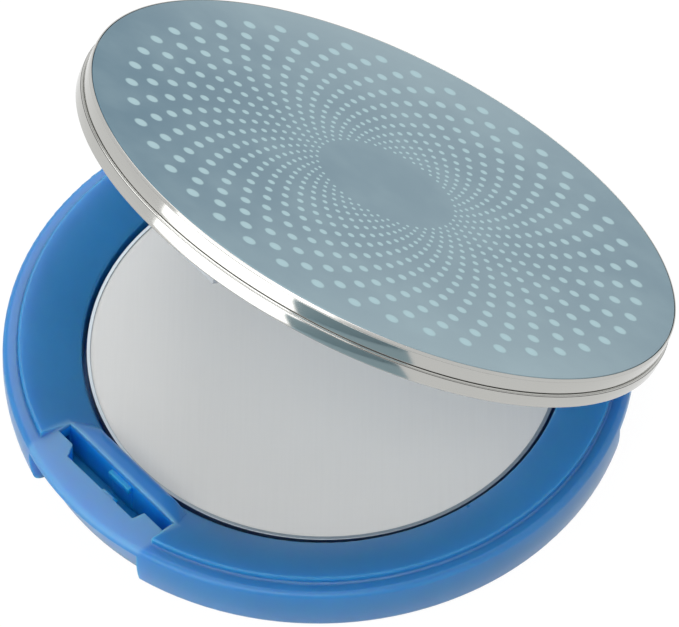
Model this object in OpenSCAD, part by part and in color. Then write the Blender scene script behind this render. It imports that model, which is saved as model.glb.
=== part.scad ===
// Round wet palette: a flat compact with a damp pad under a woven membrane and a hinged polished lid.
// Origin: centre of the underside. The catch faces -Y, the hinge is at +Y, up is +Z. Sizes in mm.

/* [Base shell] */
// Radius of the lip round the base
lip_r = 44.8; // [40:0.02:50]
// Radius of the outer wall's bulge, seen from the side
barrel_r = 18; // [16:0.5:40]
// Height at which the outer wall is widest
barrel_z = 5.4; // [4:0.1:6]
// Rounding of the outer wall into the underside
foot_round = 1.5; // [1:0.1:1.6]
// Rounding of the lip's top edge
lip_round = 0.8; // [0.3:0.05:0.9]
// How far the wall stands back under the lip along the hinge side
back_inset = 0.8; // [0.3:0.05:0.9]
// Height of the set back wall
back_h = 6.3; // [5:0.1:6.5]
// Half angle of the set back part of the wall
back_half_deg = 60; // [45:1:65]
// Height of the shoulder the lid lands on
shoulder_z = 8.0; // [7.8:0.05:8.4]
// How far the raised ridge stands back from the lip
ridge_inset = 2.3; // [2.2:0.02:2.6]
// Height of the ridge over the shoulder, where it would be sharp
ridge_rise = 1.1; // [0.8:0.05:1.2]
// Rounding of the ridge
ridge_round = 0.25; // [0.2:0.05:0.8]
// Width of the sloping deck inside the ridge
deck_w = 9.3; // [9:0.05:9.5]
// How far the deck falls towards the well
deck_drop = 3.9; // [3.4:0.05:4]
// Crown radius of the deck's section
deck_crown = 25.7; // [22:0.1:40]
// Thickness of the moulded walls
skin = 1.4; // [1:0.1:1.6]

/* [Well] */
// How far the well cuts into the foot of the deck
well_cut = 1.25; // [1.2:0.01:1.3]
// How far the well is shifted towards the hinge
well_y = 1.14; // [1:0.02:1.2]
// Rounding of the deck's edge round the well
well_round = 0.6; // [0.4:0.05:0.9]
// Thickness of the wall between the well and the hollow
well_wall = 1.3; // [1:0.05:1.4]

/* [Catch] */
// Distance of the slot's outer edge from the lip
slot_inset = 4.8; // [4.64:0.02:4.94]
// Width of the catch slot in the middle
slot_w = 4.0; // [3.9:0.05:4.1]
// How much narrower the slot is at its ends
slot_tab = 1.85; // [1.6:0.05:2]
// Half length of the catch slot
slot_half = 11.4; // [11:0.05:11.6]
// Half length of the wide middle of the slot
slot_mid_half = 7.1; // [7:0.05:7.6]
// Height of the wall that closes each end of the slot
slot_end_h = 2.55; // [2:0.05:3]
// How much wider the flat platform is than the slot, at its outer end
platform_flare = 1.4; // [1:0.05:1.6]
// How far the catch nose stands into the slot
nose_len = 1.2; // [0.8:0.05:1.25]
// How far the nose stands out at its top, where its ramp begins
nose_top = 0.35; // [0.1:0.05:0.6]
// Depth of the nose's top under the shoulder
nose_drop = 0.25; // [0.1:0.05:0.4]
// Height of the catch nose
nose_h = 1.5; // [1.2:0.05:1.6]
// Width of the catch nose
nose_w = 2.2; // [1.5:0.1:4]
// Sideways place of the catch nose
nose_x = 1.5; // [-1:0.1:1.5]
// Width of the rib on the slot's inner wall
rib_w = 4.2; // [3:0.1:6]
// How far the rib stands out into the slot
rib_out = 0.75; // [0.5:0.05:0.8]
// Depth of the rib's top under the shoulder
rib_drop = 1.4; // [0.9:0.1:2]
// Width of the straight bar between the slot and the well
bar_w = 3.04; // [2.94:0.01:3.06]
// Rounding of the bar's top into its face at the well
bar_round = 1.5; // [1:0.1:2]
// Half length of the bar's flat top along the slot
bar_flat_half = 9.1; // [8:0.1:10]
// Heading of the bar's falling ends, turned from the slot's own line
bar_end_deg = 61; // [50:1:70]
// Rounding of the bar's top into its falling ends
bar_end_round = 3; // [2:0.1:4]
// Half angle of the thumb recess in the outer wall
recess_half_deg = 15.2; // [12:0.1:15.5]
// Depth of the recess at the underside
recess_depth = 2.6; // [2:0.02:2.7]

/* [Base plate] */
// Width of the wall foot outside the bottom plate
plate_rim = 3.6; // [3.5:0.05:4]
// Thickness of the bottom plate
plate_t = 1.2; // [0.8:0.1:1.2]
// Gap round and over the bottom plate
plate_gap = 0.1; // [0.05:0.01:0.15]

/* [Hinge] */
// Distance of the hinge axis from the lip
hinge_inset = 5.3; // [5.24:0.02:5.4]
// Hinge axis, height above the underside
hinge_z = 1.8; // [1.8:0.02:1.86]
// Radius of the hinge pin
pin_r = 0.6; // [0.5:0.02:0.65]
// Length of the hinge pin
pin_len = 24.8; // [20:0.2:25]
// Running clearance between pin and holes, on the radius
pin_fit = 0.04; // [0.02:0.01:0.08]
// Radius of the lid's hinge knuckle
knuckle_r = 1.55; // [1.4:0.05:1.6]
// Width of the lid's hinge arm
arm_w = 15.4; // [10:0.2:15.4]
// Gap at each side of the hinge arm
arm_gap = 0.4; // [0.3:0.05:0.6]
// How far the lid stands open
open_deg = 33.2; // [0:0.1:54]

/* [Lid bands] */
// Gap between the closed lid and the shoulder
lid_gap = 0.3; // [0.25:0.05:0.5]
// How far the lower band stands out past the lip
low_band_out = 0.4; // [0.2:0.02:0.46]
// Height of the lower band
low_band_h = 1.9; // [1.7:0.05:2]
// Gap between the two bands
band_groove = 0.2; // [0.15:0.05:0.3]
// How far the upper band stands back from the lower one
up_band_inset = 0.33; // [0.2:0.01:0.4]
// Height of the upper band, without its bezel
up_band_h = 1.95; // [1.8:0.05:2.1]
// Height of the narrow bezel on the upper band
bezel_h = 0.44; // [0.35:0.01:0.5]
// Width of the bezel
bezel_w = 0.27; // [0.22:0.01:0.4]
// Thickness of the upper band's wall
band_wall = 0.92; // [0.8:0.02:1]
// Rounding of the band edges at the groove
band_round = 0.32; // [0.2:0.01:0.4]
// Thickness of the metal under the printed plate
band_web = 0.4; // [0.3:0.05:0.5]

/* [Lid plate and lining] */
// Gap between the printed plate and the bezel
print_gap = 0.08; // [0.05:0.01:0.2]
// Thickness of the printed plate
print_t = 0.33; // [0.25:0.01:0.4]
// Thickness of each adhesive sheet
tape_t = 0.1; // [0.05:0.01:0.15]
// How far each adhesive sheet ends short of its panel
tape_short = 0.3; // [0.2:0.05:0.6]
// Wall thickness of the inner frame's skirt
skirt_t = 0.7; // [0.5:0.05:0.8]
// Thickness of the inner frame's web
frame_web = 0.7; // [0.5:0.05:0.8]
// Gap between the inner frame and the bands
frame_fit = 0.05; // [0.03:0.01:0.1]
// Gap between the lining panel and the skirt
liner_gap = 0.3; // [0.1:0.05:1]
// Thickness of the lining panel
liner_t = 0.8; // [0.6:0.05:0.9]
// How far the seal's middle stands in from the ridge's outer face
seal_inset = 1.1; // [1:0.05:1.4]
// Width of the seal
seal_w = 1.4; // [1:0.1:1.6]
// Gap between the relaxed seal and the ridge, lid closed
seal_gap = 0.35; // [0.3:0.05:0.5]

/* [Lid hook] */
// Gap beside the hook in the middle of the slot
hook_side_gap = 0.7; // [0.6:0.05:2]
// Gap between the hook's barb and the catch nose
hook_nose_gap = 0.3; // [0.3:0.05:0.5]
// Thickness of the hook's blade
hook_t = 1.1; // [0.9:0.1:1.2]
// How far the hook's barb stands out
barb_len = 0.3; // [0.2:0.05:0.3]
// Depth of the hook below the shoulder
hook_depth = 3.7; // [2.9:0.1:4]

/* [Tray and pad] */
// Gap between the hoop and the well
hoop_gap = 0.65; // [0.6:0.01:0.8]
// Thickness of the hoop's upright wall
hoop_wall = 0.37; // [0.3:0.01:0.5]
// Sliding clearance between hoop and tray, on the radius
hoop_fit = 0.08; // [0.05:0.01:0.1]
// Height of the hoop's upright wall
hoop_h = 1.7; // [1:0.1:2.5]
// Height of the hoop's top over the foot of the deck
hoop_rise = 0.02; // [-0.2:0.02:0.2]
// Width of the hoop's top flange
hoop_flange = 0.55; // [0.4:0.05:0.7]
// Thickness of the hoop's flange
hoop_t = 0.18; // [0.15:0.01:0.25]
// Thickness of the tray's metal
tray_t = 0.35; // [0.3:0.05:0.5]
// Thickness of the woven membrane
membrane_t = 0.2; // [0.1:0.05:0.25]
// Gap between the dry pad and the membrane
pad_gap = 0.25; // [0.1:0.05:0.6]
// Gap between the pad and the tray's wall
pad_side_gap = 0.3; // [0.2:0.05:0.6]

/* [Hidden] */
$fn = 180;

// a length that passes every piece, for cuts that go right through
reach = lip_r + 10;
// radii and heights of the base
ridge_r = lip_r - ridge_inset;
ridge_z = shoulder_z + ridge_rise;
deck_low_r = ridge_r - deck_w;
deck_low_z = ridge_z - deck_drop;
well_r = deck_low_r + well_cut;
plate_r = lip_r - plate_rim;
hinge_y = lip_r - hinge_inset;
recess_r = lip_r - recess_depth;
// the catch, measured towards the front
slot_out_y = lip_r - slot_inset;
slot_in_y = slot_out_y - slot_w;
slot_tab_y = slot_out_y - slot_tab;
bar_face_y = slot_in_y - bar_w;
platform_half_in = slot_half + 0.05;
platform_half_out = slot_half + platform_flare;
// centre of the circle that gives the deck its crown
deck_chord = sqrt(deck_w * deck_w + deck_drop * deck_drop);
deck_back = sqrt(deck_crown * deck_crown - deck_chord * deck_chord / 4);
deck_cr = (ridge_r + deck_low_r) / 2 + deck_back * deck_drop / deck_chord;
deck_cz = (ridge_z + deck_low_z) / 2 - deck_back * deck_w / deck_chord;
// centres and touching points of the lip's and the foot's roundings inside the bulged wall
barrel_cr = lip_r - barrel_r;
lip_cr = barrel_cr + sqrt(pow(barrel_r - lip_round, 2) - pow(shoulder_z - lip_round - barrel_z, 2));
lip_touch_r = barrel_cr + (lip_cr - barrel_cr) * barrel_r / (barrel_r - lip_round);
lip_touch_z = barrel_z + (shoulder_z - lip_round - barrel_z) * barrel_r / (barrel_r - lip_round);
foot_cr = barrel_cr + sqrt(pow(barrel_r - foot_round, 2) - pow(barrel_z - foot_round, 2));
foot_touch_r = barrel_cr + (foot_cr - barrel_cr) * barrel_r / (barrel_r - foot_round);
foot_touch_z = barrel_z - (barrel_z - foot_round) * barrel_r / (barrel_r - foot_round);
// outer radius of the hollow inside the wall
hollow_r = lip_r - skin;
// the bar's ends round over to a slope of 45 degrees
bar_fall_x = bar_end_round * sin(45);
bar_fall_z = shoulder_z - bar_end_round + bar_end_round * cos(45);
// centre of the ridge's rounding, touching the deck's circle from inside
round_cr = ridge_r - ridge_round;
round_reach = deck_crown - ridge_round;
round_cz = deck_cz + sqrt(round_reach * round_reach - (round_cr - deck_cr) * (round_cr - deck_cr));
round_touch = round_cr + ridge_round * (round_cr - deck_cr) / round_reach;
// the deck's edge round the shifted well lies in a plane that leans a little
mouth_front_z = deck_height(well_r - well_y);
mouth_back_z = deck_height(well_r + well_y);
mouth_z = (mouth_front_z + mouth_back_z) / 2;
mouth_tilt = atan((mouth_back_z - mouth_front_z) / (2 * well_r));
mouth_slope = asin((deck_cr - well_r) / deck_crown);
mouth_cr = well_r + 0.975 * well_round;
mouth_cz = (0.975 * sin(mouth_slope) - 0.966) * well_round / cos(mouth_slope);
// radii of the lid
low_band_r = lip_r + low_band_out;
up_band_r = low_band_r - up_band_inset;
bezel_r = up_band_r - bezel_w;
band_in_r = up_band_r - band_wall;
print_r = bezel_r - print_gap;
skirt_r = band_in_r - frame_fit;
skirt_in_r = skirt_r - skirt_t;
liner_r = skirt_in_r - liner_gap;
seal_mid_r = ridge_r - seal_inset;
// lid heights, taken with the lid closed
low_z0 = shoulder_z + lid_gap;
low_z1 = low_z0 + low_band_h;
up_z0 = low_z1 + band_groove;
up_z1 = up_z0 + up_band_h;
web_z0 = up_z1 - band_web + 0.05;
web_z1 = up_z1 + 0.05;
print_z0 = web_z1 + tape_t;
frame_z1 = web_z0 - 0.1;
frame_z0 = frame_z1 - frame_web;
liner_z1 = frame_z0 - tape_t;
liner_z0 = liner_z1 - liner_t;
skirt_z0 = low_z0 + 0.3;
seal_z0 = ridge_z + seal_gap;
// reach of the lid's rim below and behind the hinge axis decides what the base gives way to
relief_r = shoulder_z - hinge_z;
ridge_relief_r = relief_r + ridge_rise;
relief_half = arm_w / 2 + 14.9;
cheek_half = relief_half + 1.4;
arm_slot_half = arm_w / 2 + arm_gap;
plate_seat_z = plate_t + plate_gap;
hook_half = slot_mid_half - hook_side_gap;
arm_out = skirt_r - hinge_y;
hook_y = slot_out_y - nose_len - barb_len - hook_nose_gap;
// tray, pad, membrane and hoop
hoop_r = well_r - hoop_gap;
hoop_in_r = hoop_r - hoop_wall;
tray_r = hoop_in_r - hoop_fit;
hoop_top_z = deck_low_z + hoop_rise;
membrane_z0 = hoop_top_z - hoop_t - membrane_t - 0.02;
tray_top_z = membrane_z0 - 0.02;
pad_z0 = plate_seat_z + tray_t + 0.02;
pad_z1 = membrane_z0 - pad_gap;

// height of the crowned deck at a radius
function deck_height(r) = deck_cz + sqrt(deck_crown * deck_crown - (r - deck_cr) * (r - deck_cr));

module ring_part(r_in, r_out, z0, z1) {
  rotate_extrude()
    translate([r_in, z0])
      square([r_out - r_in, z1 - z0]);
}

module at_hinge() {
  translate([0, hinge_y, hinge_z])
    children();
}

// turns a closed lid piece to the stored opening
module opened() {
  at_hinge()
    rotate([-open_deg, 0, 0])
      translate([0, -hinge_y, -hinge_z])
        children();
}

module along_x(r, len) {
  rotate([0, 90, 0])
    cylinder(r = r, h = len, center = true);
}

// outline of the base wall, shoulder and deck, cut on one side
module base_section() {
  intersection() {
    translate([deck_low_r - skin, 0])
      square([round_touch - deck_low_r + skin, ridge_z + 1]);
    translate([deck_cr, deck_cz])
      circle(r = deck_crown, $fn = 720);
  }
  translate([round_cr, round_cz])
    circle(r = ridge_round);
  translate([round_touch - 0.01, 0])
    square([ridge_r - round_touch + 0.01, round_cz]);
  difference() {
    translate([ridge_r - 0.1, 0])
      square([0.4, shoulder_z + 0.3]);
    translate([ridge_r + 0.3, shoulder_z + 0.3])
      circle(r = 0.3);
  }
  wall_section(0);
}

// outline of the bulged outer wall with its rounded lip and foot, moved in by an inset
module wall_section(inset) {
  translate([-inset, 0]) {
    intersection() {
      translate([barrel_cr, barrel_z])
        circle(r = barrel_r, $fn = 720);
      polygon([[ridge_r - 0.1, 0], [foot_cr, 0], [foot_touch_r, foot_touch_z], [reach, foot_touch_z],
        [reach, lip_touch_z], [lip_touch_r, lip_touch_z], [lip_cr, shoulder_z], [ridge_r - 0.1, shoulder_z]]);
    }
    translate([lip_cr, shoulder_z - lip_round])
      circle(r = lip_round);
    translate([foot_cr, foot_round])
      circle(r = foot_round);
  }
}

// wedge of the whole height round the hinge side
module back_zone(half_deg) {
  translate([0, 0, -2])
    linear_extrude(height = 20)
      polygon([[0, 0], [2 * reach * sin(half_deg), 2 * reach * cos(half_deg)],
        [-2 * reach * sin(half_deg), 2 * reach * cos(half_deg)]]);
}

// what the wall gives up under the lip along the hinge side
module back_cut() {
  intersection() {
    rotate_extrude()
      difference() {
        translate([foot_cr - back_inset, -1])
          square([reach - foot_cr, back_h + 1]);
        wall_section(back_inset);
      }
    back_zone(back_half_deg);
  }
}

// the hollow inside the base, one skin in from the outside
module hollow_section() {
  intersection() {
    union() {
      translate([well_r - 5, -1])
        square([plate_r + plate_gap - well_r + 5, ridge_z + 1]);
      polygon([[well_r - 5, plate_seat_z], [plate_r + plate_gap, plate_seat_z],
        [hollow_r, plate_seat_z + 2], [hollow_r, shoulder_z - skin], [well_r - 5, shoulder_z - skin]]);
    }
    translate([deck_cr, deck_cz])
      circle(r = deck_crown - skin, $fn = 720);
  }
}

module clasp_plan() {
  polygon([[-platform_half_in, -slot_in_y], [platform_half_in, -slot_in_y],
    [platform_half_out, -lip_r - 1], [-platform_half_out, -lip_r - 1]]);
}

module slot_plan() {
  polygon([[-slot_half, -slot_in_y], [slot_half, -slot_in_y], [slot_half, -slot_tab_y],
    [slot_mid_half + 0.4, -slot_tab_y], [slot_mid_half, -slot_out_y], [-slot_mid_half, -slot_out_y],
    [-slot_mid_half - 0.8, -slot_tab_y - 0.5], [-slot_mid_half - 1.2, -slot_tab_y],
    [-slot_half, -slot_tab_y]]);
}

// rounded fall of the bar's end, seen along its crease
module bar_fall() {
  translate([-2 * reach, 0])
    square([2 * reach, shoulder_z]);
  translate([0, shoulder_z - bar_end_round])
    circle(r = bar_end_round);
  polygon([[-1, 0], [-1, shoulder_z - bar_end_round], [0, shoulder_z - bar_end_round],
    [bar_fall_x, bar_fall_z], [bar_fall_x + bar_fall_z, 0]]);
}

// everything under one falling end of the bar, on the right, or mirrored to the left
module bar_end(mirrored) {
  mirror([mirrored, 0, 0])
    translate([bar_flat_half, -slot_in_y, 0])
      rotate([0, 0, bar_end_deg])
        rotate([90, 0, 0])
          linear_extrude(height = 2 * reach, center = true)
            bar_fall();
}

// straight bar between the slot and the well, falling to the deck at both ends
module slot_bar() {
  intersection() {
    rotate([90, 0, 90])
      linear_extrude(height = 2 * slot_half + 5.2, center = true) {
        translate([-slot_in_y - 1, plate_seat_z])
          square([bar_w + 1, shoulder_z - bar_round - plate_seat_z]);
        translate([-slot_in_y - 1, plate_seat_z])
          square([bar_w + 1 - bar_round, shoulder_z - plate_seat_z]);
        translate([-bar_face_y - bar_round, shoulder_z - bar_round])
          circle(r = bar_round);
      }
    bar_end(0);
    bar_end(1);
  }
}

module base_hollow() {
  difference() {
    rotate_extrude()
      hollow_section();
    translate([0, well_y, -2])
      cylinder(r = well_r + well_wall, h = 20);
    intersection() {
      ring_part(hollow_r - back_inset, reach, -2, 20);
      back_zone(back_half_deg + 2);
    }
    translate([-slot_half - 2, -reach, -2])
      cube([2 * slot_half + 4, reach - bar_face_y + 6, 20]);
    translate([-cheek_half, hinge_y - 1.5, -2])
      cube([2 * cheek_half, 20, 20]);
    translate([-arm_slot_half - 4.5, hinge_y - 4, -2])
      cube([2 * arm_slot_half + 9, 20, 20]);
  }
}

// the slot's hole, open to the hollow under its end walls: its rib and the catch nose stay standing
module slot_hole() {
  difference() {
    linear_extrude(height = 14)
      slot_plan();
    translate([-rib_w / 2, -slot_in_y - rib_out, -1])
      cube([rib_w, rib_out + 0.3, 1 + shoulder_z - rib_drop]);
    translate([nose_x, -slot_out_y, shoulder_z - nose_drop])
      rotate([90, 0, 90])
        linear_extrude(height = nose_w, center = true)
          polygon([[-1, 0], [nose_top, 0], [nose_len, 0.1 - nose_h], [nose_len, -nose_h], [-1, -nose_h]]);
  }
  translate([-slot_half - 2.3, -slot_tab_y + 0.2, -1])
    cube([2 * slot_half + 4.6, slot_tab_y - slot_in_y - 0.35, 1 + shoulder_z - slot_end_h]);
}

// the shifted well with the deck's edge rounded over round its mouth, cut off straight at the bar
module well() {
  difference() {
    union() {
      translate([0, well_y, -2])
        cylinder(r = well_r, h = 20);
      well_mouth();
    }
    translate([-bar_flat_half, -reach, -3])
      cube([2 * bar_flat_half, reach - bar_face_y, 30]);
  }
}

// ring that rounds over the deck's edge, lying in the edge's leaning plane
module well_mouth() {
  translate([0, well_y, mouth_z])
    rotate([mouth_tilt, 0, 0])
      rotate_extrude()
        difference() {
          polygon([[well_r - 0.2, mouth_cz], [mouth_cr, mouth_cz],
            [mouth_cr - well_round * sin(mouth_slope), mouth_cz + well_round * cos(mouth_slope)],
            [mouth_cr - well_round * sin(mouth_slope), 3], [well_r - 0.2, 3]]);
          translate([mouth_cr, mouth_cz])
            circle(r = well_round);
        }
}

module recess_cut() {
  intersection() {
    rotate_extrude()
      polygon([[recess_r, -1], [recess_r, 0], [recess_r + 1.75, shoulder_z - 1.75],
        [lip_r + 0.2, shoulder_z - lip_round - 0.3], [reach, shoulder_z - lip_round - 0.3], [reach, -1]]);
    translate([0, 0, -2])
      linear_extrude(height = 20)
        polygon([[0, 0], [-2 * reach * sin(recess_half_deg), -2 * reach * cos(recess_half_deg)],
          [2 * reach * sin(recess_half_deg), -2 * reach * cos(recess_half_deg)]]);
  }
}

// room behind the hinge: the arm's slot, and the way of the lid's rim down behind the base
module hinge_cuts() {
  translate([-arm_slot_half, hinge_y - 2.1, -1])
    cube([2 * arm_slot_half, 20, 7]);
  difference() {
    translate([-arm_slot_half, hinge_y - 2.1, -1])
      cube([2 * arm_slot_half, 20, 14]);
    translate([0, 0, -2])
      cylinder(r = ridge_r + 0.1, h = 20);
  }
  difference() {
    translate([-relief_half, hinge_y, hinge_z])
      cube([2 * relief_half, 20, 14]);
    at_hinge()
      along_x(relief_r, reach);
    translate([0, 0, -2])
      cylinder(r = ridge_r + 0.1, h = 20);
  }
  difference() {
    translate([-relief_half, hinge_y, 5])
      cube([2 * relief_half, 20, 14]);
    at_hinge()
      along_x(ridge_relief_r, reach);
  }
}

module base_shell() {
  color([0.24, 0.47, 0.7])
    difference() {
      union() {
        rotate_extrude()
          base_section();
        slot_bar();
      }
      well();
      base_hollow();
      difference() {
        translate([0, 0, -1])
          cylinder(r = plate_r + plate_gap, h = 1 + plate_seat_z);
        translate([-cheek_half, hinge_y - 1.5, -2])
          cube([2 * cheek_half, 20, 20]);
      }
      translate([0, 0, shoulder_z])
        linear_extrude(height = 6)
          clasp_plan();
      slot_hole();
      recess_cut();
      hinge_cuts();
      translate([6.2, 0, 0])
        at_hinge()
          along_x(pin_r + pin_fit, pin_len + 12.6);
      back_cut();
    }
}

module base_plate() {
  color([0.22, 0.44, 0.66])
    difference() {
      union() {
        translate([0, 0, 0.3])
          cylinder(r = plate_r, h = plate_t - 0.3);
        cylinder(r1 = plate_r - 0.3, r2 = plate_r, h = 0.3);
      }
      translate([-cheek_half - plate_gap, hinge_y - 1.5 - plate_gap, -1])
        cube([2 * (cheek_half + plate_gap), 20, 4]);
      translate([-arm_slot_half, hinge_y - 2.2, -1])
        cube([2 * arm_slot_half, 20, 4]);
    }
}

module hinge_pin() {
  color([0.7, 0.7, 0.72])
    at_hinge()
      along_x(pin_r, pin_len);
}

module water_tray() {
  color([0.75, 0.76, 0.77])
    translate([0, well_y, 0])
      rotate_extrude()
        polygon([[0, plate_seat_z], [tray_r - 0.4, plate_seat_z], [tray_r, plate_seat_z + 0.4],
          [tray_r, tray_top_z], [tray_r - tray_t, tray_top_z], [tray_r - tray_t, plate_seat_z + 0.55],
          [tray_r - tray_t - 0.2, plate_seat_z + tray_t], [0, plate_seat_z + tray_t]]);
}

module sponge_pad() {
  color([0.86, 0.84, 0.74])
    translate([0, well_y, pad_z0])
      cylinder(r = tray_r - tray_t - pad_side_gap, h = pad_z1 - pad_z0);
}

module membrane() {
  color([0.76, 0.77, 0.77])
    translate([0, well_y, membrane_z0])
      cylinder(r = tray_r - 0.02, h = membrane_t);
}

module membrane_hoop() {
  color([0.82, 0.83, 0.84])
    translate([0, well_y, 0])
      rotate_extrude()
        polygon([[hoop_r - hoop_flange, hoop_top_z - hoop_t], [hoop_in_r, hoop_top_z - hoop_t],
          [hoop_in_r, hoop_top_z - hoop_h], [hoop_r, hoop_top_z - hoop_h], [hoop_r, hoop_top_z - 0.08],
          [hoop_r - 0.08, hoop_top_z], [hoop_r - hoop_flange, hoop_top_z]]);
}

module lid_lower_band() {
  color([0.8, 0.8, 0.78])
    opened()
      rotate_extrude() {
        polygon([[band_in_r, low_z0], [low_band_r - 0.16, low_z0], [low_band_r, low_z0 + 0.16],
          [low_band_r, low_z1 - band_round], [low_band_r - band_round, low_z1 - band_round],
          [low_band_r - band_round, low_z1], [band_in_r, low_z1]]);
        translate([low_band_r - band_round, low_z1 - band_round])
          circle(r = band_round);
      }
}

module lid_upper_band() {
  color([0.82, 0.82, 0.8])
    opened()
      rotate_extrude() {
        polygon([[band_in_r, up_z0], [up_band_r - band_round, up_z0], [up_band_r - band_round, up_z0 + band_round],
          [up_band_r, up_z0 + band_round], [up_band_r, up_z1 - 0.12], [up_band_r - 0.08, up_z1 - 0.06],
          [up_band_r - 0.08, up_z1], [up_band_r, up_z1 + 0.02], [up_band_r - 0.14, up_z1 + bezel_h],
          [bezel_r, up_z1 + bezel_h], [bezel_r, web_z1], [0, web_z1], [0, web_z0], [band_in_r, web_z0]]);
        translate([up_band_r - band_round, up_z0 + band_round])
          circle(r = band_round);
      }
}

module plate_tape() {
  color([0.6, 0.6, 0.58])
    opened()
      translate([0, 0, web_z1])
        cylinder(r = print_r - tape_short, h = tape_t);
}

module printed_plate() {
  color([0.42, 0.6, 0.66])
    opened()
      translate([0, 0, print_z0])
        cylinder(r = print_r, h = print_t);
}

// arm from the knuckle out and up to the skirt, seen from the side, measured from the hinge axis
module arm_side() {
  polygon([[-0.7, 0], [-0.7, 1.2], [0.6, 1.4], [arm_out - 1, 3.6], [arm_out - 1, frame_z0 - hinge_z + 0.2],
    [arm_out, frame_z0 - hinge_z + 0.2], [arm_out, 3.6], [1.25, -0.85]]);
}

module lid_frame() {
  color([0.26, 0.48, 0.7])
    opened()
      difference() {
        union() {
          ring_part(skirt_in_r, skirt_r, skirt_z0, frame_z1);
          translate([0, 0, frame_z0])
            cylinder(r = skirt_r, h = frame_web);
          intersection() {
            at_hinge()
              rotate([90, 0, 90])
                linear_extrude(height = arm_w, center = true)
                  arm_side();
            union() {
              translate([0, 0, -2])
                cylinder(r = skirt_r, h = 20);
              translate([-reach / 2, hinge_y - 19.5, -2])
                cube([reach, reach, low_z0 + 1.8]);
            }
          }
          at_hinge()
            along_x(knuckle_r, arm_w);
          translate([-hook_half, -hook_y, shoulder_z - hook_depth])
            cube([2 * hook_half, hook_t, frame_z0 - shoulder_z + hook_depth + 0.1]);
          translate([-hook_half, -hook_y, shoulder_z - hook_depth])
            rotate([90, 0, 90])
              linear_extrude(height = 2 * hook_half)
                polygon([[0, 0.2], [-barb_len, 1.1], [-barb_len, 1.7], [0, 1.8], [0.2, 1.8], [0.2, 0.2]]);
          for (side = [-1, 1])
            translate([side * (hook_half - 0.6) - 0.6, -hook_y + hook_t - 0.1, frame_z0 - 1.6])
              cube([1.2, 1.6, 1.7]);
        }
        at_hinge()
          along_x(pin_r + pin_fit, arm_w + 2);
      }
}

module liner_window() {
  translate([-hook_half - 0.4, -hook_y - 0.4, liner_z0 - 1])
    cube([2 * hook_half + 0.8, hook_t + 2.3, 4]);
}

module liner_tape() {
  color([0.6, 0.6, 0.58])
    opened()
      difference() {
        translate([0, 0, liner_z1])
          cylinder(r = liner_r - tape_short, h = tape_t);
        liner_window();
      }
}

module lid_liner() {
  color([0.88, 0.88, 0.87])
    opened()
      difference() {
        translate([0, 0, liner_z0])
          cylinder(r = liner_r, h = liner_t);
        liner_window();
      }
}

module lid_seal() {
  color([0.8, 0.82, 0.83])
    opened()
      rotate_extrude() {
        translate([seal_mid_r - seal_w / 2, seal_z0 + 0.35])
          square([seal_w, liner_z0 - seal_z0 - 0.35]);
        translate([seal_mid_r, seal_z0 + 0.35])
          intersection() {
            circle(r = seal_w / 2);
            translate([-seal_w / 2, -0.35])
              square([seal_w, 0.5]);
          }
      }
}

base_shell();
base_plate();
hinge_pin();
water_tray();
sponge_pad();
membrane();
membrane_hoop();
lid_lower_band();
lid_upper_band();
plate_tape();
printed_plate();
lid_frame();
liner_tape();
lid_liner();
lid_seal();
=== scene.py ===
import math

import bpy
import numpy as np
from bpy.props import FloatProperty, FloatVectorProperty, IntProperty, PointerProperty
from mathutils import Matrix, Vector


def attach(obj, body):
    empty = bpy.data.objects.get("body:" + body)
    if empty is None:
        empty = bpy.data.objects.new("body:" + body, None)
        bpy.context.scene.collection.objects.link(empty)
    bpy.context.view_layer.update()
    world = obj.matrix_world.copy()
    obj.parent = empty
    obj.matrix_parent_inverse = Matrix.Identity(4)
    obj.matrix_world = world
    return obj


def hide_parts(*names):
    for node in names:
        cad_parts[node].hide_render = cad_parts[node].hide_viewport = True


bl_info = {
    "name": "Round Wet Palette",
    "version": (1, 0, 0),
    "blender": (4, 5, 0),
    "location": "3D View > Sidebar > Palette",
    "description": "Finishes a round wet palette: tinted base, membrane, polished bands, printed plate",
    "category": "Object",
}

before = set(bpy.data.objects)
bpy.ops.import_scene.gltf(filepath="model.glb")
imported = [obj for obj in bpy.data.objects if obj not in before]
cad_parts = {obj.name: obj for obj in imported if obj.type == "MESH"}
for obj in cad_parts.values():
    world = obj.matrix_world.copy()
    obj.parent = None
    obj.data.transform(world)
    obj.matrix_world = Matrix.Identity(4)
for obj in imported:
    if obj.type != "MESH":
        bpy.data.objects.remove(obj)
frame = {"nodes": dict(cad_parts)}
bpy.context.view_layer.update()

MM = 0.001
TAU = 2.0 * math.pi

# places in metres from the middle of the base's underside, lamp sizes in metres, power in watts
CAMERA_PLACE = (0.40543, -0.34466, 0.68951)
CAMERA_TARGET = (-0.00634, 0.00932, 0.0)
FOCAL_LENGTH = 324.24
SENSOR_WIDTH = 36.0
PALETTE_MIDDLE = (0.0, 0.0, 0.01)
LAMPS = (
    ("overhead", (-0.30, 0.42, 0.82), PALETTE_MIDDLE, (1.0, 1.0), 6.3),
    ("front", (0.0, -0.85, 0.45), PALETTE_MIDDLE, (1.0, 0.5), 2.4),
    ("beside_camera", (0.52, -0.62, 0.95), PALETTE_MIDDLE, (0.8, 0.8), 3.6),
    ("front_left", (-0.135, -0.95, 0.12), (-0.135, 0.0, 0.02), (0.97, 0.34), 2.1),
)
TABLE_HALF = 3.0
CARD_NEAR = ((0.055, -0.142), (0.125, -0.075))
CARD_FAR = ((0.85, -0.51), (0.344, -0.896))
CARD_LOW, CARD_HIGH = 0.0005, 0.26
WORLD_STRENGTH = 0.43
PAPER_GLOW = 1.04


# ---------------------------------------------------------------- sizes and colours


def length(default, name, about):
    return FloatProperty(name=name, description=about, default=default, min=0.0, unit="LENGTH", precision=5)


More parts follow.
